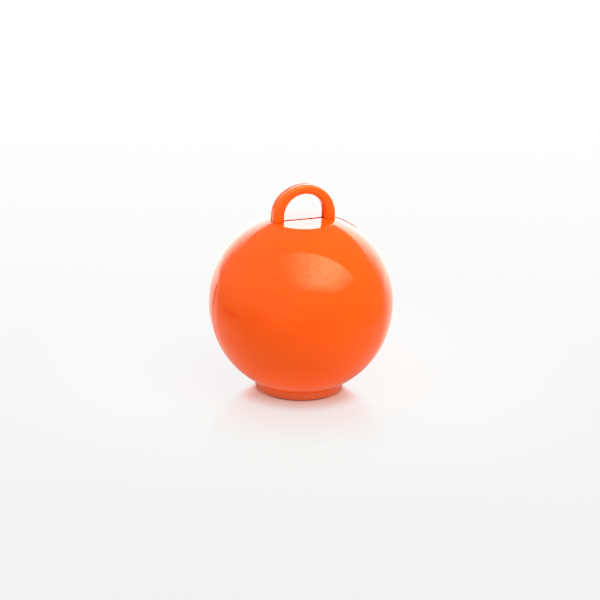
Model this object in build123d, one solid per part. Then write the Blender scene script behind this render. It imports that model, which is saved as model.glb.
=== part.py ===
from build123d import *
import math
import os

# A balloon weight: a hollow ball moulded in two like halves, with a ribbon loop on top and a foot below.
# It is filled with sand through the foot, and a push-in stopper closes the filling hole.
# Millimetres, +Z up. The origin is the centre of the foot ring, on the surface that it stands on.
# The halves meet on the XZ plane, in which the loop lies. The front half is on the -Y side.

# Ball: it dips below the standing surface inside the foot, and it is flat between the loop's legs
ball_radius = 27.5
ball_wall = 1.5
ball_dip = 1.15
top_flat_drop = 1.7
top_flat_blend = 1.0

# Foot ring, which narrows towards the ground, and the filling hole inside it
foot_radius = 13.45
foot_taper = 0.2
foot_rim_width = 1.8
foot_edge_round = 0.4
seat_width = 2.0
seat_thickness = 1.5
neck_wall = 1.3
neck_rise = 2.5

# Ribbon loop: its bar is wide at the legs and slimmer at the crown
loop_outer_radius = 9.65
loop_bar_width = 3.35
loop_crown_width = 2.7
loop_bar_depth = 4.0
loop_edge_round = 0.9
loop_centre_above_flat = 1.15

# Joint of the halves: a groove outside, a lip in a rebate inside, pegs in sockets in the loop
groove_width = 0.7
groove_depth = 0.5
joint_clearance = 0.05
lip_thickness = 0.7
lip_reach = 1.2
lip_lower_angle = -52
lip_upper_angle = 62
rebate_extra_angle = 1
peg_radius = 0.6
peg_reach = 1.0
peg_angle = 45

# Stopper
stopper_flange_thickness = 1.2
stopper_ground_clearance = 0.8
stopper_skirt_height = 3.0
stopper_wall = 1.2
stopper_lead_in = 0.5
stopper_clearance = 0.08
flange_clearance = 0.3
pry_notch_width = 5.0
pry_notch_depth = 1.0

# Sand
sand_shore_above_centre = 0.7
sand_heap_rise = 1.4
sand_clearance = 0.2

# One overrun serves all cuts and buried roots
overrun = 0.5

# Ball sizes that follow from those above
inner_radius = ball_radius - ball_wall
ball_centre_height = ball_radius - ball_dip
top_flat_height = ball_centre_height + ball_radius - top_flat_drop
ceiling_height = top_flat_height - ball_wall

# The level axis across the joint, through the ball's centre: a turn about it takes +X up to +Z
across_joint = Axis((0, 0, ball_centre_height), (0, -1, 0))


def width_at(height, radius):
    """Radius of the level circle that a ball of the given radius has at a height."""
    return math.sqrt(radius**2 - (height - ball_centre_height) ** 2)


def rise_at(width, radius):
    """How far a ball's skin lies above or below its centre, at a distance from the upright axis."""
    return math.sqrt(radius**2 - width**2)


# Foot, loop and stopper sizes that follow: the floor round the neck is no lower than the ball's wall there
foot_height = ball_centre_height - rise_at(foot_radius, ball_radius)
foot_ground_radius = foot_radius - foot_taper
recess_radius = foot_ground_radius - foot_rim_width
hole_radius = recess_radius - seat_width
neck_radius = hole_radius + neck_wall
seat_height = stopper_ground_clearance + stopper_flange_thickness
wall_height_at_neck = ball_centre_height - rise_at(neck_radius + neck_wall, inner_radius)
floor_height = max(seat_height + seat_thickness, wall_height_at_neck)
neck_height = floor_height + neck_rise
stopper_top = seat_height + stopper_skirt_height
loop_inner_radius = loop_outer_radius - loop_bar_width
loop_bar_radius = (loop_outer_radius + loop_inner_radius) / 2
loop_centre_height = top_flat_height + loop_centre_above_flat
eye_centre_height = loop_centre_height + loop_bar_width - loop_crown_width
loop_corner_width = math.hypot(loop_outer_radius, loop_bar_depth / 2)
loop_root_height = ball_centre_height + rise_at(loop_corner_width, ball_radius - ball_wall / 2)
sand_level = ball_centre_height + sand_shore_above_centre


def shell_section():
    """Section of the ball's wall, its top flat, the foot ring, the stopper's seat and the neck above it."""
    flat_edge = (width_at(top_flat_height, ball_radius), top_flat_height)
    foot_corner = (foot_radius, foot_height)
    floor_edge = (width_at(floor_height, inner_radius), floor_height)
    ceiling_edge = (width_at(ceiling_height, inner_radius), ceiling_height)
    with BuildSketch(Plane.XZ) as section:
        with BuildLine():
            Line((0, top_flat_height), flat_edge)
            ThreePointArc(flat_edge, (ball_radius, ball_centre_height), foot_corner)
            Polyline(
                foot_corner,
                (foot_ground_radius, 0),
                (recess_radius, 0),
                (recess_radius, seat_height),
                (hole_radius, seat_height),
                (hole_radius, neck_height),
                (neck_radius, neck_height),
                (neck_radius, floor_height),
                floor_edge,
            )
            ThreePointArc(floor_edge, (inner_radius, ball_centre_height), ceiling_edge)
            Polyline(ceiling_edge, (0, ceiling_height), (0, top_flat_height))
        make_face()
        fillet(section.vertices().sort_by_distance((*flat_edge, 0))[0], top_flat_blend)
        fillet(section.vertices().sort_by_distance((foot_ground_radius, 0, 0))[0], foot_edge_round)
    return section.sketch


def loop_outline(inset):
    """Outline of the ribbon loop, drawn in by an inset: an arch on two short legs round the eye."""
    outer = loop_outer_radius - inset
    inner = loop_inner_radius + inset
    outer_left = (-outer, loop_centre_height)
    outer_right = (outer, loop_centre_height)
    inner_left = (-inner, eye_centre_height)
    inner_right = (inner, eye_centre_height)
    with BuildSketch() as outline:
        with BuildLine():
            ThreePointArc(outer_left, (0, loop_centre_height + outer), outer_right)
            Polyline(outer_right, (outer, loop_root_height), (inner, loop_root_height), inner_right)
            ThreePointArc(inner_right, (0, eye_centre_height + inner), inner_left)
            Polyline(inner_left, (-inner, loop_root_height), (-outer, loop_root_height), outer_left)
        make_face()
    return outline.sketch


def loop_half():
    """Front half of the ribbon loop, rounded along its front edges."""
    arch = extrude(Plane.XZ * loop_outline(0), amount=loop_bar_depth / 2)
    return fillet(arch.faces().sort_by(Axis.Y)[0].edges(), loop_edge_round)


def joint_groove():
    """What the front half's skin lacks along the joint: half of the groove from the foot up round the loop."""
    touching = Pos(0, ball_centre_height) * Circle(ball_radius - groove_depth)
    touching -= Pos(0, top_flat_height - groove_depth) * Rectangle(
        2 * ball_radius, ball_radius, align=(Align.CENTER, Align.MIN)
    )
    foot_top = foot_radius - groove_depth
    foot_end = foot_ground_radius - groove_depth
    touching += Polygon(
        (-foot_end, 0),
        (foot_end, 0),
        (foot_top, foot_height),
        (foot_top, ball_centre_height),
        (-foot_top, ball_centre_height),
        (-foot_top, foot_height),
        align=None,
    )
    touching += loop_outline(groove_depth)
    around = Pos(0, ball_centre_height) * Rectangle(4 * ball_radius, 4 * ball_radius)
    return extrude(Plane.XZ * (around - touching), amount=groove_width / 2)


def joint_ring(inner, outer, root, reach, extra_angle):
    """Stretch of a ring about the level axis on the +X side, from root before the joint to reach past it."""
    section = Pos((inner + outer) / 2, (reach - root) / 2, ball_centre_height) * Rectangle(
        outer - inner, reach + root
    )
    turn = lip_upper_angle - lip_lower_angle + 2 * extra_angle
    ring = revolve(section, across_joint, revolution_arc=turn)
    return ring.rotate(across_joint, lip_lower_angle - extra_angle)


def loop_peg(radius, root, reach):
    """Round peg in the right shoulder of the loop, from root before the joint to reach behind it."""
    shoulder = math.radians(peg_angle)
    place = Pos(
        loop_bar_radius * math.cos(shoulder),
        (reach - root) / 2,
        (loop_centre_height + eye_centre_height) / 2 + loop_bar_radius * math.sin(shoulder),
    )
    return place * Rot(90, 0, 0) * Cylinder(radius, reach + root)


def shell_half():
    """Front half of the ball. The rear half is the same moulding, turned half a turn."""
    half = revolve(shell_section(), Axis((0, 0, 0), (0, 0, -1)), revolution_arc=180) + loop_half()
    half -= joint_groove()
    lip = joint_ring(inner_radius, inner_radius + lip_thickness, overrun, lip_reach, 0)
    rebate = joint_ring(
        inner_radius - overrun,
        inner_radius + lip_thickness + joint_clearance,
        0,
        lip_reach + joint_clearance,
        rebate_extra_angle,
    )
    peg = loop_peg(peg_radius, overrun, peg_reach)
    socket = loop_peg(peg_radius + joint_clearance, 0, peg_reach + joint_clearance)
    return half + lip + peg - rebate.rotate(Axis.Z, 180) - socket.rotate(Axis.Z, 180)


def base_plug():
    """Cup-shaped stopper: a skirt in the filling hole, and a flange that seats in the foot's recess."""
    skirt_radius = hole_radius - stopper_clearance
    flange_radius = recess_radius - flange_clearance
    cup_radius = skirt_radius - stopper_wall
    with BuildPart() as plug:
        with BuildSketch(Plane.XZ):
            with BuildLine():
                Polyline(
                    (0, stopper_top),
                    (skirt_radius - stopper_lead_in, stopper_top),
                    (skirt_radius, stopper_top - stopper_lead_in),
                    (skirt_radius, seat_height),
                    (flange_radius, seat_height),
                    (flange_radius, stopper_ground_clearance),
                    (cup_radius, stopper_ground_clearance),
                    (cup_radius, stopper_top - stopper_wall),
                    (0, stopper_top - stopper_wall),
                    close=True,
                )
            make_face()
        revolve(axis=Axis.Z)
        with Locations((0, -flange_radius, stopper_ground_clearance)):
            Box(pry_notch_width, 2 * pry_notch_depth, 2 * stopper_flange_thickness, mode=Mode.SUBTRACT)
    return plug.part


def sand_fill():
    """Sand in the lower half of the ball, heaped a little, round the neck and down onto the stopper."""
    sand_radius = inner_radius - sand_clearance
    bed_height = floor_height + sand_clearance
    bed_edge = (width_at(bed_height, sand_radius), bed_height)
    shore = (width_at(sand_level, sand_radius), sand_level)
    heap_radius = (shore[0] ** 2 + sand_heap_rise**2) / (2 * sand_heap_rise)
    slope_width = shore[0] / 2
    slope_drop = heap_radius - math.sqrt(heap_radius**2 - slope_width**2)
    peak = (0, sand_level + sand_heap_rise)
    flank = math.radians(-45)
    wall_middle = (
        sand_radius * math.cos(flank),
        ball_centre_height + sand_radius * math.sin(flank),
    )
    with BuildPart() as sand:
        with BuildSketch(Plane.XZ):
            with BuildLine():
                ThreePointArc(peak, (slope_width, peak[1] - slope_drop), shore)
                ThreePointArc(shore, wall_middle, bed_edge)
                Polyline(
                    bed_edge,
                    (neck_radius + sand_clearance, bed_height),
                    (neck_radius + sand_clearance, neck_height + sand_clearance),
                    (hole_radius - sand_clearance, neck_height + sand_clearance),
                    (hole_radius - sand_clearance, stopper_top + sand_clearance),
                    (0, stopper_top + sand_clearance),
                    peak,
                )
            make_face()
        revolve(axis=Axis.Z)
    return sand.part


front_shell = shell_half()
rear_shell = front_shell.rotate(Axis.Z, 180)

os.makedirs("parts", exist_ok=True)
export_step(front_shell, "parts/front_shell.step")
export_step(rear_shell, "parts/rear_shell.step")
export_step(base_plug(), "parts/base_plug.step")
export_step(sand_fill(), "parts/sand_fill.step")
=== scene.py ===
import math

import bpy
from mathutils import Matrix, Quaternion, Vector, noise


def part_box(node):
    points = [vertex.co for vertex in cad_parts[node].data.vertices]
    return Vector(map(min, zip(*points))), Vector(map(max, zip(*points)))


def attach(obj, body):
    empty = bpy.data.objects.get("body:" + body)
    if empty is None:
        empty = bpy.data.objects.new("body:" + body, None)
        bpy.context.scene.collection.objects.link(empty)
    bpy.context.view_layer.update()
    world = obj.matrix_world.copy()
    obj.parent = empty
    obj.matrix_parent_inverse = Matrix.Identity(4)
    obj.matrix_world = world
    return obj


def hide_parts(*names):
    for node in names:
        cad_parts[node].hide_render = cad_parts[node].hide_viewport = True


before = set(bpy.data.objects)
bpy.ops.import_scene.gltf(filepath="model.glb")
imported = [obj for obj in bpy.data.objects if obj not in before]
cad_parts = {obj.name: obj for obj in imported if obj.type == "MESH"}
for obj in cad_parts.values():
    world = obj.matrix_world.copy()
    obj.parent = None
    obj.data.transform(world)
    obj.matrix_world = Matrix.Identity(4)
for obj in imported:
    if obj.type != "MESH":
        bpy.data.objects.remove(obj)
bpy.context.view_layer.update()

# Lengths are in metres, unless a comment says millimetres, and angles in degrees. Colours are linear light
MM = 0.001
WHITE = (1, 1, 1, 1)
X_AXIS = (1, 0, 0)
Y_AXIS = (0, 1, 0)
Z_AXIS = (0, 0, 1)

# Ball: its radius is how far the front half reaches forward. It dips a little below the standing surface
shell_low, shell_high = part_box("front_shell")
ball_radius = -shell_low.y
ball_dip = 1.15 * MM
ball_centre = Vector((0, 0, ball_radius - ball_dip))
flat_top_height = 52.15 * MM

# Ribbon loop: its crown is slimmer than its legs, so the eye is centred a little higher than the outside
loop_radius = 9.65 * MM
loop_centre_height = shell_high.z - loop_radius
eye_radius = 6.3 * MM
eye_rise = 0.65 * MM
eye_centre_height = loop_centre_height + eye_rise

# Camera: where it stands, seen from the ball's centre, and where the ball comes in the image
camera_azimuth = -20.8
camera_elevation = 20.3
camera_roll = 1.35
camera_distance = 20 * ball_radius
image_size = 600
ball_radius_pixels = 92.4
ball_centre_pixels = (300.9, 301.7)
sensor_width = 36.0


def direction(azimuth, elevation):
    """Unit vector towards a place round the object: azimuth 0 is the front, and +90 the right."""
    turn = math.radians(azimuth)
    rise = math.radians(elevation)
    return Vector((math.sin(turn) * math.cos(rise), -math.cos(turn) * math.cos(rise), math.sin(rise)))


# Level directions away from the photograph's camera and to its right
backward = -direction(camera_azimuth, 0)
rightward = direction(camera_azimuth + 90, 0)


def add_object(name, data):
    """New object in the scene."""
    thing = bpy.data.objects.new(name, data)
    bpy.context.scene.collection.objects.link(thing)
    return thing


def make_camera():
    """Camera at the photograph's angle, rolled a little, with the ball where the photograph has it."""
    focal_pixels = ball_radius_pixels * math.sqrt((camera_distance / ball_radius) ** 2 - 1)
    towards_camera = direction(camera_azimuth, camera_elevation)
    turn = (-towards_camera).to_track_quat("-Z", "Y") @ Quaternion(Z_AXIS, math.radians(camera_roll))
    shift_right = (image_size / 2 - ball_centre_pixels[0]) / focal_pixels * camera_distance
    shift_up = (ball_centre_pixels[1] - image_size / 2) / focal_pixels * camera_distance
    data = bpy.data.cameras.new("camera")
    data.sensor_width = sensor_width
    data.lens = focal_pixels / image_size * sensor_width
    camera = add_object("camera", data)
    camera.rotation_mode = "QUATERNION"
    camera.rotation_quaternion = turn
    camera.location = ball_centre + camera_distance * towards_camera
    camera.location += turn @ Vector((shift_right, shift_up, 0))
    bpy.context.scene.camera = camera


def add_node(tree, kind, inputs=None, **settings):
    """New shader node. Inputs are values or other nodes' sockets, by name or number."""
    node = tree.nodes.new(kind)
    for name, value in settings.items():
        setattr(node, name, value)
    for name, value in (inputs or {}).items():
        socket = node.inputs[name]
        if isinstance(value, bpy.types.NodeSocket):
            tree.links.new(value, socket)
        else:
            socket.default_value = value
    return node


def math_node(tree, operation, *values):
    """Result of one sum or comparison of numbers."""
    return add_node(tree, "ShaderNodeMath", dict(enumerate(values)), operation=operation).outputs[0]


def vector_node(tree, operation, *values):
    """Outputs of one sum of vectors."""
    return add_node(tree, "ShaderNodeVectorMath", dict(enumerate(values)), operation=operation).outputs


def along(tree, vector, axis):
    """How far a vector reaches along an axis."""
    return vector_node(tree, "DOT_PRODUCT", vector, axis)["Value"]


def product(tree, *values):
    """All the numbers multiplied."""
    result = values[0]
    for value in values[1:]:
        result = math_node(tree, "MULTIPLY", result, value)
    return result


def ramp_between(tree, value, start, end, low=0.0, high=1.0):
    """Smooth step: low where the value is at start, high where it is at end."""
    inputs = {"Value": value, "From Min": start, "From Max": end, "To Min": low, "To Max": high}
    return add_node(tree, "ShaderNodeMapRange", inputs, interpolation_type="SMOOTHSTEP").outputs["Result"]


# A Mix node has its numbers in the sockets 2 and 3, and its colours in 6 and 7
def choose(tree, factor, plain, other):
    """The plain number where the factor is 0, and the other where it is 1."""
    return add_node(tree, "ShaderNodeMix", {0: factor, 2: plain, 3: other}).outputs[0]


def choose_shader(tree, factor, plain, other):
    """The plain shader where the factor is 0, and the other where it is 1."""
    return add_node(tree, "ShaderNodeMixShader", {0: factor, 1: plain, 2: other}).outputs[0]


def tint(tree, factor, plain, other):
    """The plain colour where the factor is 0, and the other where it is 1. Either may be a socket."""
    inputs = {0: factor}
    for number, colour in ((6, plain), (7, other)):
        inputs[number] = colour if isinstance(colour, bpy.types.NodeSocket) else (*colour, 1)
    return add_node(tree, "ShaderNodeMix", inputs, data_type="RGBA").outputs[2]


def light_shader(tree, kind, colour, strength):
    """Shader that gives off light: Emission on a surface, or Background in the world."""
    return add_node(tree, kind, {"Color": colour, "Strength": strength}).outputs[0]


# Studio: a bright upright panel behind the object, a soft light above and before it, and a plain room.
# A share is a distance across or along over the distance out to the panel, or up to the light.
# A pair of shares runs from where the light is nil to where it is full
panel_level = 4.0
panel_foot_part = 0.78
panel_head_part = 1.08
panel_height_share = 0.57
panel_left_shares = (-1.2, -0.06)
panel_right_shares = (1.6, 0.1)
panel_colour = (1.0, 0.985, 1.05)
key_level = 4.7
key_back_edge_share = -0.15
key_front_shares = (-1.7, -0.8)
key_left_shares = (-0.6, 0.7)
key_right_shares = (2.3, 0.45)
key_colour = (1.0, 0.95, 0.55)
edge_softness = 0.04
least_distance = 0.02

# The room is darker to the right and below. To the sides of the panel its light and the panel's turn warmer
room_left_level = 0.40
room_right_level = 0.24
room_below_level = 0.21
room_fade_rises = (0.12, -0.12)
warm_shares = (0.15, 0.5)
side_colour = (1.0, 0.945, 0.885)

# A ray that was mirrored more often than the depth says sees only this part of the panel and the room
second_glance = 0.25
second_glance_depth = 1.5

# Soft fills: the level, the turn from the camera's azimuth, and the elevation
fill_lights = {"front_fill": (0.35, 55.0, 50.0), "back_fill": (0.30, -150.0, 15.0)}


def panel_light(tree, across, height, back):
    """Level of the panel, which is a little brighter at its head."""
    foot_level = panel_level * panel_foot_part
    head_level = panel_level * panel_head_part
    return product(
        tree,
        ramp_between(tree, across, *panel_left_shares),
        ramp_between(tree, across, *panel_right_shares),
        ramp_between(tree, height, 0.0, panel_height_share, foot_level, head_level),
        ramp_between(tree, height, panel_height_share + edge_softness, panel_height_share),
        ramp_between(tree, back, 0.0, least_distance),
    )


def key_light(tree, aside, behind):
    """Level of the soft light above."""
    return product(
        tree,
        ramp_between(tree, behind, key_back_edge_share + edge_softness, key_back_edge_share),
        ramp_between(tree, behind, *key_front_shares),
        ramp_between(tree, aside, *key_left_shares),
        ramp_between(tree, aside, *key_right_shares, 0.0, key_level),
    )


def make_world():
    """Studio round the object. The camera itself sees plain white."""
    world = bpy.data.worlds.new("studio")
    bpy.context.scene.world = world
    world.use_nodes = True
    tree = world.node_tree
    tree.nodes.clear()
    ray = add_node(tree, "ShaderNodeTexCoord").outputs["Generated"]
    back = along(tree, ray, backward)
    right = along(tree, ray, rightward)
    up = along(tree, ray, Z_AXIS)
    out = math_node(tree, "MAXIMUM", back, least_distance)
    rise = math_node(tree, "MAXIMUM", up, least_distance)
    across = math_node(tree, "DIVIDE", right, out)
    height = math_node(tree, "DIVIDE", up, out)
    aside = math_node(tree, "DIVIDE", right, rise)
    behind = math_node(tree, "DIVIDE", back, rise)
    path = add_node(tree, "ShaderNodeLightPath").outputs

    panel = panel_light(tree, across, height, back)
    room = ramp_between(tree, right, -1.0, 1.0, room_left_level, room_right_level)
    room = choose(tree, ramp_between(tree, up, *room_fade_rises), room, room_below_level)
    again = math_node(tree, "GREATER_THAN", path["Glossy Depth"], second_glance_depth)
    pale = product(tree, math_node(tree, "ADD", panel, room), choose(tree, again, 1.0, second_glance))
    warmth = ramp_between(tree, math_node(tree, "ABSOLUTE", across), *warm_shares)
    pale_colour = tint(tree, warmth, panel_colour, side_colour)
    pale_light = light_shader(tree, "ShaderNodeBackground", pale_colour, pale)
    key = key_light(tree, aside, behind)
    warm_light = light_shader(tree, "ShaderNodeBackground", (*key_colour, 1), key)
    light = add_node(tree, "ShaderNodeAddShader", {0: pale_light, 1: warm_light}).outputs[0]
    white = light_shader(tree, "ShaderNodeBackground", WHITE, 1.0)
    plain = math_node(tree, "MAXIMUM", path["Is Camera Ray"], path["Is Singular Ray"])
    output = add_node(tree, "ShaderNodeOutputWorld")
    tree.links.new(choose_shader(tree, plain, light, white), output.inputs["Surface"])


def make_fill(name, level, turn, elevation):
    """Soft light from all of one side, too even to show in the gloss."""
    data = bpy.data.lights.new(name, "SUN")
    data.angle = math.pi
    data.energy = level * math.pi
    fill = add_object(name, data)
    fill.rotation_mode = "QUATERNION"
    fill.rotation_quaternion = direction(camera_azimuth + turn, elevation).to_track_quat("Z", "Y")
    fill.visible_glossy = False


def new_material(name):
    """New node material, with its tree and its Principled shader."""
    material = bpy.data.materials.new(name)
    material.use_nodes = True
    return material, material.node_tree, material.node_tree.nodes["Principled BSDF"]


# Floor: a pale glossy sheet. A depth is a distance behind the upright axis, seen from the photograph's
# camera, a side is a distance from its line of sight, and a reach is a distance from the axis. A pair of any
# of them runs from where a thing starts to where it is complete
floor_half_width = 0.60
floor_front = -0.30
floor_back = 1.2
foot_edge = 0.0133

# Light that the sheet throws back: strongest behind the object, even in a ring near it, and weak at the foot
bounce_front = 0.78
bounce_back = 2.2
bounce_depths = (-0.05, 0.03)
bounce_ring = 1.28
bounce_ring_reach = (0.024, 0.045)
bounce_at_foot = 0.36
bounce_foot_reach = (0.0145, 0.0175)
bounce_near_colour = (1.0, 0.84, 0.78)
bounce_far_colour = (1.0, 0.95, 0.90)

# White that the camera sees: brighter behind than in front, and a little brighter near the object.
# Light that falls on the sheet adds a little to it, so that the object's shadow shows
white_front = 0.688
white_back = 0.826
white_depths = (-0.30, 0.36)
white_near = 1.045
white_near_reach = (0.10, 0.035)
white_colour = (0.985, 1.0, 1.0)
shaded_colour = (0.12, 0.118, 0.132)
# In the gap under the front of the foot, that added light is nearly nil: a painted shadow
shaded_gap_colour = (0.03, 0.005, 0.003)

# Painted reflection and painted shade in front of the object: a faint cool wedge of painted reflection, the
# ball's orange on the sheet as painted shade and bounce light, a stronger orange of painted shade and
# reflection where the foot touches it, and a painted shadow in the gap under the front of the foot. The two
# oranges weaken towards the front
wedge_sides = (0.026, 0.0235)
wedge_depths = (-0.052, -0.036)
wedge_colour = (0.955, 0.985, 0.99)
bleed_reach = 0.023
bleed_depths = (-0.001, -0.005)
bleed_sides = (0.0138, 0.0105)
bleed_lean = 0.6
bleed_front = 0.7
bleed_front_depths = (-0.017, -0.011)
bleed_colour = (0.88, 0.62, 0.55)
contact_reach = (0.0149, 0.0133)
contact_depths = (-0.001, -0.004)
contact_front = 0.4
contact_front_depths = (-0.0125, -0.008)
contact_colour = (0.77, 0.26, 0.15)
gap_reach = (0.0140, 0.0132)
gap_depths = (-0.007, -0.012)
gap_colour = (0.30, 0.06, 0.04)

# Mirror image: a weak one, a stronger one close to the foot, and how far its facets lean, which blurs it
mirror_level = 0.16
mirror_reach = 0.050
mirror_at_foot = 0.26
mirror_blur = 0.10

# What the object's gloss shows of the sheet: bright in a fan behind the object, less bright on both sides,
# dim elsewhere, and a little brighter round the foot. The fan's shares are a side over the distance from its
# apex, which lies in front of the axis
gloss_level = 0.2
gloss_near_back = 1.0
gloss_far_back = 0.95
gloss_depths = (-0.012, 0.04, 0.25)
fan_apex = 0.044
fan_shares = (1.5, 0.65)
fan_least_distance = 0.001
gloss_at_foot = 0.08
gloss_reach = (0.02, 0.08)
gloss_ring = 0.18
gloss_ring_reach = (0.019, 0.015)
gloss_ring_front = 0.2
gloss_ring_depths = (-0.008, 0.004)
gloss_beside = 0.35
gloss_beside_sides = (0.012, 0.036)
gloss_beside_ends = (0.13, 0.06)
gloss_beside_depths = (-0.06, 0.02)


def floor_bounce(tree, depth, radius):
    """Light that the sheet throws back."""
    level = ramp_between(tree, depth, *bounce_depths, bounce_front, bounce_back)
    level = choose(tree, ramp_between(tree, radius, *bounce_ring_reach), bounce_ring, level)
    level = choose(tree, ramp_between(tree, radius, *bounce_foot_reach), bounce_at_foot, level)
    far = ramp_between(tree, radius, bounce_foot_reach[1], bounce_ring_reach[1])
    colour = tint(tree, far, bounce_near_colour, bounce_far_colour)
    return light_shader(tree, "ShaderNodeEmission", colour, level)


def floor_colour(tree, depth, to_side, radius, gap):
    """Colour of the white that the camera sees, with the painted reflection, bounce light and shade in front of
    the object.
    """
    under_ball = product(
        tree,
        ramp_between(tree, depth, *bleed_depths),
        ramp_between(tree, math_node(tree, "MULTIPLY_ADD", depth, bleed_lean, to_side), *bleed_sides),
    )
    wedge = product(
        tree,
        under_ball,
        ramp_between(tree, to_side, *wedge_sides),
        ramp_between(tree, depth, *wedge_depths),
    )
    bleed = product(
        tree,
        under_ball,
        ramp_between(tree, radius, bleed_reach, foot_edge),
        ramp_between(tree, depth, *bleed_front_depths, bleed_front, 1.0),
    )
    contact = product(
        tree,
        ramp_between(tree, radius, *contact_reach),
        ramp_between(tree, depth, *contact_depths),
        ramp_between(tree, depth, *contact_front_depths, contact_front, 1.0),
    )
    colour = tint(tree, wedge, white_colour, wedge_colour)
    colour = tint(tree, bleed, colour, bleed_colour)
    colour = tint(tree, contact, colour, contact_colour)
    return tint(tree, gap, colour, gap_colour)


def floor_mirror(tree, position):
    """Mirror image, blurred a little because each point of the sheet leans its own way."""
    jitter = add_node(tree, "ShaderNodeTexWhiteNoise", {"Vector": position}).outputs["Color"]
    spread = (mirror_blur, mirror_blur, 0)
    start = (-mirror_blur / 2, -mirror_blur / 2, 1)
    lean = vector_node(tree, "MULTIPLY_ADD", jitter, spread, start)["Vector"]
    facet = vector_node(tree, "NORMALIZE", lean)["Vector"]
    inputs = {"Color": WHITE, "Roughness": 0.0, "Normal": facet}
    return add_node(tree, "ShaderNodeBsdfGlossy", inputs).outputs[0]


def floor_seen(tree, position, depth, to_side, radius):
    """What the camera sees of the sheet: its white, the object's shadow, painted shade and reflection in front
    of the foot, and a mirror image.
    """
    # Painted shadow in the gap under the front of the foot
    gap = product(tree, ramp_between(tree, radius, *gap_reach), ramp_between(tree, depth, *gap_depths))
    white = product(
        tree,
        ramp_between(tree, depth, *white_depths, white_front, white_back),
        ramp_between(tree, radius, *white_near_reach, 1.0, white_near),
    )
    colour = floor_colour(tree, depth, to_side, radius, gap)
    glow = light_shader(tree, "ShaderNodeEmission", colour, white)
    shade = tint(tree, gap, shaded_colour, shaded_gap_colour)
    shaded = add_node(tree, "ShaderNodeBsdfDiffuse", {"Color": shade}).outputs[0]
    sheet = add_node(tree, "ShaderNodeAddShader", {0: glow, 1: shaded}).outputs[0]
    polish = math_node(
        tree,
        "ADD",
        ramp_between(tree, radius, mirror_reach, foot_edge, 0.0, mirror_level),
        ramp_between(tree, radius, bleed_reach, foot_edge, 0.0, mirror_at_foot),
    )
    polish = product(tree, polish, math_node(tree, "SUBTRACT", 1.0, gap))
    return choose_shader(tree, polish, sheet, floor_mirror(tree, position))


def floor_gloss(tree, depth, to_side, radius):
    """What the object's gloss shows of the sheet."""
    out = math_node(tree, "MAXIMUM", math_node(tree, "ADD", depth, fan_apex), fan_least_distance)
    share = math_node(tree, "DIVIDE", to_side, out)
    front, middle, far = gloss_depths
    bright = math_node(
        tree,
        "ADD",
        ramp_between(tree, depth, front, middle, 0.0, gloss_near_back),
        ramp_between(tree, depth, middle, far, 0.0, gloss_far_back),
    )
    behind = product(tree, bright, ramp_between(tree, share, *fan_shares))
    beside = product(
        tree,
        ramp_between(tree, to_side, *gloss_beside_sides),
        ramp_between(tree, to_side, *gloss_beside_ends),
        ramp_between(tree, depth, *gloss_beside_depths, 0.0, gloss_beside),
    )
    near_foot = ramp_between(tree, radius, *gloss_reach, gloss_level + gloss_at_foot, gloss_level)
    level = math_node(tree, "ADD", near_foot, math_node(tree, "MAXIMUM", behind, beside))
    ring = product(
        tree,
        ramp_between(tree, radius, *gloss_ring_reach, 0.0, gloss_ring),
        ramp_between(tree, depth, *gloss_ring_depths, gloss_ring_front, 1.0),
    )
    level = math_node(tree, "ADD", level, ring)
    return light_shader(tree, "ShaderNodeEmission", (*side_colour, 1), level)


def floor_material():
    """Pale glossy sheet, set apart for the camera, for gloss and for other rays, and clear from below."""
    material, tree, shader = new_material("floor_white")
    material.cycles.emission_sampling = "NONE"
    tree.nodes.remove(shader)
    place = add_node(tree, "ShaderNodeNewGeometry").outputs
    position = place["Position"]
    depth = along(tree, position, backward)
    to_side = math_node(tree, "ABSOLUTE", along(tree, position, rightward))
    radius = vector_node(tree, "LENGTH", position)["Value"]
    bounce = floor_bounce(tree, depth, radius)
    seen = floor_seen(tree, position, depth, to_side, radius)
    gloss = floor_gloss(tree, depth, to_side, radius)
    clear = add_node(tree, "ShaderNodeBsdfTransparent").outputs[0]
    path = add_node(tree, "ShaderNodeLightPath").outputs
    surface = choose_shader(tree, path["Is Glossy Ray"], bounce, gloss)
    surface = choose_shader(tree, path["Is Camera Ray"], surface, seen)
    surface = choose_shader(tree, place["Backfacing"], surface, clear)
    tree.links.new(surface, tree.nodes["Material Output"].inputs["Surface"])
    return material


def make_floor():
    """The sheet that the object stands on, turned with the photograph's camera."""
    corners = [
        side * floor_half_width * rightward + depth * backward
        for side, depth in ((-1, floor_front), (1, floor_front), (1, floor_back), (-1, floor_back))
    ]
    mesh = bpy.data.meshes.new("floor")
    mesh.from_pydata(corners, [], [(0, 1, 2, 3)])
    mesh.materials.append(floor_material())
    floor = add_object("floor", mesh)


def millimetres(tree, scale=(1, 1, 1)):
    """Place on the piece in millimetres, multiplied along each axis by a scale."""
    place = add_node(tree, "ShaderNodeTexCoord").outputs["Object"]
    factors = tuple(factor / MM for factor in scale)
    return vector_node(tree, "MULTIPLY", place, factors)["Vector"]


def cloud(tree, vector, per_mm, detail=3.0, rough=0.5):
    """Noise from 0 to 1 with so many blotches a millimetre."""
    inputs = {"Vector": vector, "Scale": per_mm, "Detail": detail, "Roughness": rough}
    return add_node(tree, "ShaderNodeTexNoise", inputs).outputs["Fac"]


def cells(tree, place, per_mm):
    """Outputs of a pattern of cells, so many a millimetre, each with a random colour."""
    return add_node(tree, "ShaderNodeTexVoronoi", {"Vector": place, "Scale": per_mm}).outputs


def bump(tree, height, depth, normal=None, invert=False):
    """Normal of a relief of the given depth, laid over another normal if there is one."""
    inputs = {"Height": height, "Strength": 1.0, "Distance": depth}
    if normal is not None:
        inputs["Normal"] = normal
    return add_node(tree, "ShaderNodeBump", inputs, invert=invert).outputs[0]


def connect(tree, shader, inputs):
    """Links sockets to a shader's inputs, by name."""
    for name, socket in inputs.items():
        tree.links.new(socket, shader.inputs[name])
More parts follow.
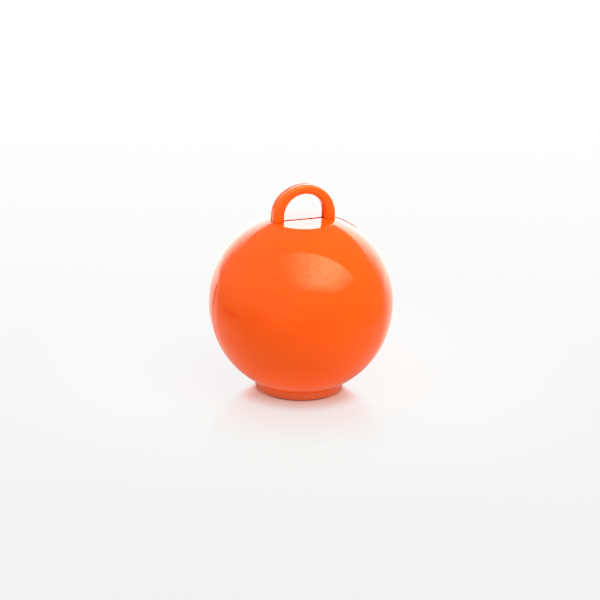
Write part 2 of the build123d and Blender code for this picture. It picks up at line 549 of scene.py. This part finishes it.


# Colours of the orange plastic: clean, with thinner pigment, painted lighter in the thin bar of the loop for
# the light that it catches and lets through, painted darker for the shade in crevices and darker beside the
# joint, paler for a painted reflection of the pale floor on the foot, in a painted dark reflection on the
# ball's left, and on the small marks
orange = (0.97, 0.099, 0.003)
orange_pale = (0.98, 0.116, 0.006)
orange_lit_loop = (0.97, 0.136, 0.009)
orange_shaded_dark_joint = (0.30, 0.045, 0.002)
orange_floor_reflection = (0.97, 0.145, 0.045)
orange_dark_reflection = (0.90, 0.045, 0.001)
orange_marked = (0.75, 0.075, 0.003)

# Specular level of clean plastic, and of plastic painted darker for shade in crevices, beside the joint and on
# the flash
clean_sheen = 0.5
darkened_sheen = 0.1

# In the noise of the materials, a scale is in blotches a millimetre, on each axis where it has three numbers,
# and a range is the pair of noise values between which an effect comes in. Heights are in millimetres.
# The ball ends and the loop begins between the heights given here
loop_heights = (52.3, 53.0)

# Pigment: wide soft clouds, and faint flow marks round the ball
pigment_scale = 0.07
pigment_range = (0.3, 0.7)
pigment_share = 0.6
flow_scale = (0.05, 0.05, 0.5)
flow_range = (0.35, 0.75)
flow_share = 0.4

# Painted reflection of the pale floor on the foot, in blotches, and how strong it is where it is weakest
foot_reflection_heights = (2.6, 2.2)
foot_reflection_scale = 0.6
foot_reflection_range = (0.25, 0.6)
foot_reflection_least = 0.6

# Painted dark reflection on the ball's left, of the floor's far edge, in millimetres: a faint smear, nearly
# level, between its starts and its ends
dark_reflection_height = 30.0
dark_reflection_slope = 0.09
dark_reflection_reaches = (1.6, 0.3)
dark_reflection_starts = (4.0, 7.0)
dark_reflection_ends = (15.5, 11.5)
dark_reflection_side = (-18.0, -22.0)
dark_reflection_strength = 0.45

# Small marks below the flat top: scratches, dots of several sizes, and how much a mark dulls, darkens,
# roughens and cuts the skin
mark_heights = (50.5, 48.0)
mark_dulling = 0.32
mark_darkening = 0.3
mark_roughness = 0.10
mark_depth = 0.003 * MM
scratch_scale = (0.35, 0.35, 4.0)
scratch_range = (0.60, 0.76)
dot_scale = 1.2
dot_range = (0.35, 0.85)
dot_largest = 0.42
dot_softness = 0.12

# Painted shade in crevices, found by ambient occlusion: how far off a wall still counts, and how open a place
# is where the painted shade starts and where it is full. It is thick near the flat top and in one patch lower
# on the ball, and thin elsewhere
crevice_distance = 0.6 * MM
crevice_openness = (0.95, 0.45)
crevice_samples = 8
crevice_shade_thick = 0.35
crevice_shade_thin = 0.15
crevice_shade_top_heights = (45.0, 48.5)
crevice_shade_patch_height = 33.0
crevice_shade_patch_reaches = (6.0, 3.0)

# Darkening beside the joint's middle, in millimetres, on the flat top and on the loop's crown
joint_darkening_reaches = (0.55, 0.42)
joint_darkening_flat_heights = (51.6, 52.0)
joint_darkening_crown_heights = (59.0, 61.5)
joint_darkening_crown = 0.5

# Skin: the haze of a mould that isn't quite polished, and a relief like orange peel
haze_scale = 0.25
haze_range = (0.3, 0.75)
haze_roughness = (0.05, 0.10)
peel_scale = 0.9
peel_depth = 0.004 * MM


def pigment(tree, place, height):
    """Colour of the clean plastic, painted lighter on the loop for the light that its thin bar catches and lets
    through.
    """
    clouds = ramp_between(tree, cloud(tree, place, pigment_scale), *pigment_range)
    flow_noise = cloud(tree, millimetres(tree, flow_scale), 1.0, detail=2.0)
    flow = ramp_between(tree, flow_noise, *flow_range)
    clouds = math_node(tree, "MULTIPLY", clouds, pigment_share)
    colour = tint(tree, math_node(tree, "MULTIPLY_ADD", flow, flow_share, clouds), orange, orange_pale)
    return tint(tree, ramp_between(tree, height, *loop_heights), colour, orange_lit_loop)


def foot_floor_reflection(tree, place, height):
    """How strongly the foot is painted paler, as a painted reflection of the pale floor, in uneven blotches."""
    uneven = ramp_between(tree, cloud(tree, place, foot_reflection_scale), *foot_reflection_range, foot_reflection_least, 1.0)
    return product(tree, ramp_between(tree, height, *foot_reflection_heights), uneven)


def dark_reflection_band(tree, place):
    """How strong the painted dark reflection is: most along its middle line, and soft at its ends."""
    from_line = math_node(tree, "SUBTRACT", along(tree, place, (0, -dark_reflection_slope, 1)), dark_reflection_height)
    forward = along(tree, place, (0, -1, 0))
    return product(
        tree,
        ramp_between(tree, math_node(tree, "ABSOLUTE", from_line), *dark_reflection_reaches, 0.0, dark_reflection_strength),
        ramp_between(tree, forward, *dark_reflection_starts),
        ramp_between(tree, forward, *dark_reflection_ends),
        ramp_between(tree, along(tree, place, X_AXIS), *dark_reflection_side),
    )


def small_marks(tree, place, height):
    """Short level scratches and small dots, both sparse."""
    scratch_noise = cloud(tree, millimetres(tree, scratch_scale), 1.0, detail=2.0)
    scratches = ramp_between(tree, scratch_noise, *scratch_range)
    dot_cells = cells(tree, place, dot_scale)
    dot_size = ramp_between(tree, along(tree, dot_cells["Color"], X_AXIS), *dot_range, 0.0, dot_largest)
    from_dot = math_node(tree, "SUBTRACT", dot_cells["Distance"], dot_size)
    dots = ramp_between(tree, from_dot, 0.0, -dot_softness)
    either = math_node(tree, "MAXIMUM", scratches, dots)
    return product(tree, either, ramp_between(tree, height, *mark_heights))


def shell_shade_and_dark_joint(tree, place, height):
    """How much darker the plastic is painted: painted shade in crevices, in the joint and where the loop and
    the foot meet the ball, and darker beside the joint's middle.
    """
    occlusion = add_node(
        tree, "ShaderNodeAmbientOcclusion", {"Distance": crevice_distance}, samples=crevice_samples
    )
    closed = ramp_between(tree, occlusion.outputs["AO"], *crevice_openness)
    from_patch = math_node(tree, "ABSOLUTE", math_node(tree, "SUBTRACT", height, crevice_shade_patch_height))
    in_patch = ramp_between(tree, from_patch, *crevice_shade_patch_reaches, crevice_shade_thin, crevice_shade_thick)
    at_top = ramp_between(tree, height, *crevice_shade_top_heights, 0.0, crevice_shade_thick)
    crevice_shading = math_node(tree, "MULTIPLY", math_node(tree, "MAXIMUM", in_patch, at_top), closed)
    from_joint = math_node(tree, "ABSOLUTE", along(tree, place, Y_AXIS))
    beside = ramp_between(tree, from_joint, *joint_darkening_reaches)
    on_flat = math_node(tree, "MULTIPLY", beside, ramp_between(tree, height, *joint_darkening_flat_heights))
    below_loop = ramp_between(tree, height, loop_heights[1], loop_heights[0])
    on_ball = math_node(tree, "MULTIPLY", math_node(tree, "MAXIMUM", crevice_shading, on_flat), below_loop)
    on_crown = product(tree, beside, ramp_between(tree, height, *joint_darkening_crown_heights, 0.0, joint_darkening_crown))
    return math_node(tree, "MAXIMUM", on_ball, on_crown)


def shell_plastic():
    """Glossy orange polystyrene, as moulded, with the fine marks of handling. Its colour also holds painted
    shade, a painted dark reflection, a painted reflection of the floor and painted light on the loop.
    """
    material, tree, shader = new_material("shell_plastic")
    place = millimetres(tree)
    height = along(tree, place, Z_AXIS)
    marks = small_marks(tree, place, height)
    painted_shade_dark_joint = shell_shade_and_dark_joint(tree, place, height)
    colour = pigment(tree, place, height)
    # Painted reflection of the pale floor on the foot
    colour = tint(tree, foot_floor_reflection(tree, place, height), colour, orange_floor_reflection)
    # Painted dark reflection on the ball's left
    colour = tint(tree, dark_reflection_band(tree, place), colour, orange_dark_reflection)
    colour = tint(tree, math_node(tree, "MULTIPLY", marks, mark_darkening), colour, orange_marked)
    # Painted shade in crevices, and darker beside the joint
    colour = tint(tree, painted_shade_dark_joint, colour, orange_shaded_dark_joint)
    sheen = math_node(tree, "MULTIPLY_ADD", marks, -mark_dulling, clean_sheen)
    haze = ramp_between(tree, cloud(tree, place, haze_scale), *haze_range, *haze_roughness)
    skin = bump(tree, cloud(tree, place, peel_scale, detail=2.0), peel_depth)
    finish = {
        "Base Color": colour,
        "Specular IOR Level": choose(tree, painted_shade_dark_joint, sheen, darkened_sheen),
        "Roughness": math_node(tree, "MULTIPLY_ADD", marks, mark_roughness, haze),
        "Normal": bump(tree, marks, mark_depth, normal=skin, invert=True),
    }
    connect(tree, shader, finish)
    return material


# Stopper: softer plastic with clouds of two oranges and a finely eroded skin
stopper_orange = (0.83, 0.13, 0.016)
stopper_pale = (0.88, 0.17, 0.035)
stopper_scale = 0.2
stopper_range = (0.3, 0.7)
erosion_scale = 5.0
erosion_rough = 0.7
erosion_range = (0.25, 0.75)
erosion_roughness = (0.38, 0.58)
erosion_depth = 0.02 * MM


def stopper_plastic():
    """Softer orange polyethylene with a matt, finely eroded skin."""
    material, tree, shader = new_material("stopper_plastic")
    place = millimetres(tree)
    clouds = ramp_between(tree, cloud(tree, place, stopper_scale), *stopper_range)
    erosion = cloud(tree, place, erosion_scale, rough=erosion_rough)
    finish = {
        "Base Color": tint(tree, clouds, stopper_orange, stopper_pale),
        "Roughness": ramp_between(tree, erosion, *erosion_range, *erosion_roughness),
        "Normal": bump(tree, erosion, erosion_depth),
    }
    connect(tree, shader, finish)
    return material


def dress(node, material):
    """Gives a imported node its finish."""
    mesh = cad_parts[node].data
    mesh.materials.clear()
    mesh.materials.append(material)


# Flash along the joint: proud on the flat top and the right shoulder, nearly flush on the ball's upper left,
# and sunk in the groove of its lower left and of the loop. Angles are up from the ball's middle, and a fade
# share is the part of a strip, at its end, over which it sinks away
flash_half_width = 0.33 * MM
flash_root = 0.45 * MM
flash_crest_share = 0.5
flash_shoulder_share = 0.3
flash_lump = 0.15
flash_lumps_per_mm = 0.5
flash_rise = 0.17 * MM
flash_flat_reach = 6.4 * MM
flash_right_angles = (70.0, 47.0)
flash_right_fade_share = 0.25
flash_left_angles = (70.0, 14.0)
flash_left_rise = -0.03 * MM
flash_left_fade_share = 0.07
flash_low_angles = (5.0, -55.0)
flash_low_rise = -0.10 * MM
flash_loop_rise = -0.12 * MM
flash_leg_height = 52.3 * MM
flash_steps = 180
flash_sharp_angle = math.radians(20)

# Darkening of the flash, in blotches of uneven strength. On the ball it comes in between two places, in
# millimetres from the middle, and lies on all that is to the right of them
flash_darkened = (0.16, 0.045, 0.015)
flash_blotch_scale = 0.8
flash_blotch_range = (0.3, 0.7)
flash_blotch_least = 0.7
flash_darkening_places = (-8.0, -5.0)
flash_roughness = (0.1, 0.6)


def flash_material():
    """The shell's plastic squeezed out of the joint: clean on the left, and darker to the right and on the
    loop's crown. On the loop it is painted lighter, for the light that the thin bar catches and lets through.
    """
    material, tree, shader = new_material("joint_flash")
    place = millimetres(tree)
    height = along(tree, place, Z_AXIS)
    blotch_noise = cloud(tree, place, flash_blotch_scale)
    blotches = ramp_between(tree, blotch_noise, *flash_blotch_range, flash_blotch_least, 1.0)
    in_loop = ramp_between(tree, height, *loop_heights)
    by_side = ramp_between(tree, along(tree, place, X_AXIS), *flash_darkening_places)
    by_crown = ramp_between(tree, height, *joint_darkening_crown_heights, 0.0, joint_darkening_crown)
    darkness = product(tree, blotches, choose(tree, in_loop, by_side, by_crown))
    clean = tint(tree, in_loop, orange, orange_lit_loop)
    finish = {
        "Base Color": tint(tree, darkness, clean, flash_darkened),
        "Roughness": ramp_between(tree, darkness, 0.0, 1.0, *flash_roughness),
        "Specular IOR Level": ramp_between(tree, darkness, 0.0, 1.0, clean_sheen, darkened_sheen),
    }
    connect(tree, shader, finish)
    return material


def tube_faces(rings, corners):
    """Faces of a tube through so many rings of so many corners, closed at both ends."""
    faces = []
    last = (rings - 1) * corners
    for start in range(0, last, corners):
        following = start + corners
        for corner in range(corners):
            beside = (corner + 1) % corners
            faces.append((start + corner, start + beside, following + beside, following + corner))
    faces.append(tuple(reversed(range(corners))))
    faces.append(tuple(range(last, last + corners)))
    return faces


def flash_strip(points, outward, height, fade_share=0.0):
    """Vertices and faces of one low ridge along points on the skin. It sinks away over a share of its end."""
    vertices = []
    across = Vector(Y_AXIS)
    last = len(points) - 1
    for step, (point, out) in enumerate(zip(points, outward)):
        whole = min(1.0, (last - step) / (fade_share * last)) if fade_share else 1.0
        lump = 1 - flash_lump + flash_lump * noise.noise(point / MM * flash_lumps_per_mm)
        crest = whole * lump * height - (1 - whole) * flash_root
        shoulder = min(crest, flash_shoulder_share * height)
        right_side = ((flash_crest_share, crest), (1, shoulder), (1, -flash_root))
        left_side = [(-side, rise) for side, rise in reversed(right_side)]
        for side, rise in (*left_side, *right_side):
            vertices.append(point + across * side * flash_half_width + out * rise)
    return vertices, tube_faces(len(points), len(vertices) // len(points))


def flash_strips():
    """Points, outward directions, rise and fade share of each strip, on the flat, the ball and the loop."""
    shares = [step / flash_steps for step in range(flash_steps + 1)]
    flat = [Vector((flash_flat_reach * (2 * share - 1), 0, flat_top_height)) for share in shares]
    strips = [(flat, [Vector(Z_AXIS)] * len(flat), flash_rise)]
    for side, (first, final), rise, fade_share in (
        (-1, flash_left_angles, flash_left_rise, flash_left_fade_share),
        (-1, flash_low_angles, flash_low_rise, 0.0),
        (1, flash_right_angles, flash_rise, flash_right_fade_share),
    ):
        turns = [math.radians(first + share * (final - first)) for share in shares]
        outward = [Vector((side * math.cos(turn), 0, math.sin(turn))) for turn in turns]
        strips.append(([ball_centre + ball_radius * out for out in outward], outward, rise, fade_share))
    turns = [math.pi * (1 - share) for share in shares]
    around = [Vector((math.cos(turn), 0, math.sin(turn))) for turn in turns]
    for radius, centre_height, side in (
        (loop_radius, loop_centre_height, 1),
        (eye_radius, eye_centre_height, -1),
    ):
        arch = [Vector((0, 0, centre_height)) + radius * way for way in around]
        legs = [Vector((end * radius, 0, flash_leg_height)) for end in (-1, 1)]
        outward = [side * way for way in (around[0], *around, around[-1])]
        strips.append(([legs[0], *arch, legs[1]], outward, flash_loop_rise))
    return strips


def make_flash():
    """Thin plastic that was squeezed out of the joint, in strips along it."""
    vertices = []
    faces = []
    for strip in flash_strips():
        more_vertices, more_faces = flash_strip(*strip)
        faces += [tuple(len(vertices) + corner for corner in face) for face in more_faces]
        vertices += more_vertices
    mesh = bpy.data.meshes.new("joint_flash")
    mesh.from_pydata(vertices, [], faces)
    mesh.shade_smooth()
    mesh.set_sharp_from_angle(angle=flash_sharp_angle)
    mesh.materials.append(flash_material())
    flash = add_object("joint_flash", mesh)
    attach(flash, "shell")


# Sand: grains of two tans, a few of them glossy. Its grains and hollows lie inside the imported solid's outline
sand_dark = (0.40, 0.25, 0.12)
sand_pale = (0.68, 0.50, 0.28)
sand_scale = 2.2
sand_glint_range = (0.6, 1.0)
sand_roughness = (0.9, 0.35)
sand_relief_depth = 0.25 * MM
sand_voxel = 0.7 * MM
sand_grain_depth = 0.45 * MM
sand_grains_per_mm = 0.9
sand_hollow_depth = 0.8 * MM
sand_hollows_per_mm = 0.16


def sand_material():
    """Dry sand: grains of several tans, each with its own gloss."""
    material, tree, shader = new_material("sand")
    grains = cells(tree, millimetres(tree), sand_scale)
    kind = along(tree, grains["Color"], X_AXIS)
    glint = along(tree, grains["Color"], Y_AXIS)
    finish = {
        "Base Color": tint(tree, kind, sand_dark, sand_pale),
        "Roughness": ramp_between(tree, glint, *sand_glint_range, *sand_roughness),
        "Normal": bump(tree, grains["Distance"], sand_relief_depth, invert=True),
    }
    connect(tree, shader, finish)
    return material


def lumps(spot):
    """Noise at a place, from 0 to 1."""
    return 0.5 + 0.5 * noise.noise(spot)


def make_sand():
    """Loose sand in place of its solid: a lumpy heap with grains all over."""
    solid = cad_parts["sand_fill"]
    sand = add_object("loose_sand", solid.data.copy())
    remesh = sand.modifiers.new("remesh", "REMESH")
    remesh.mode = "VOXEL"
    remesh.voxel_size = sand_voxel
    evaluated = sand.evaluated_get(bpy.context.evaluated_depsgraph_get())
    mesh = bpy.data.meshes.new_from_object(evaluated)
    sand.modifiers.clear()
    sand.data = mesh
    inward = [-vertex.normal.copy() for vertex in mesh.vertices]
    for vertex, way in zip(mesh.vertices, inward):
        spot = vertex.co / MM
        grain = lumps(spot * sand_grains_per_mm)
        hollow = lumps(spot * sand_hollows_per_mm)
        vertex.co += way * (grain * sand_grain_depth + hollow**2 * sand_hollow_depth)
    mesh.materials.clear()
    mesh.materials.append(sand_material())
    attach(sand, "shell")
    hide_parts("sand_fill")


make_camera()
make_world()
for name, settings in fill_lights.items():
    make_fill(name, *settings)
make_floor()
plastic = shell_plastic()
dress("front_shell", plastic)
dress("rear_shell", plastic)
dress("base_plug", stopper_plastic())
make_flash()
make_sand()
bpy.context.scene.view_settings.view_transform = "Standard"
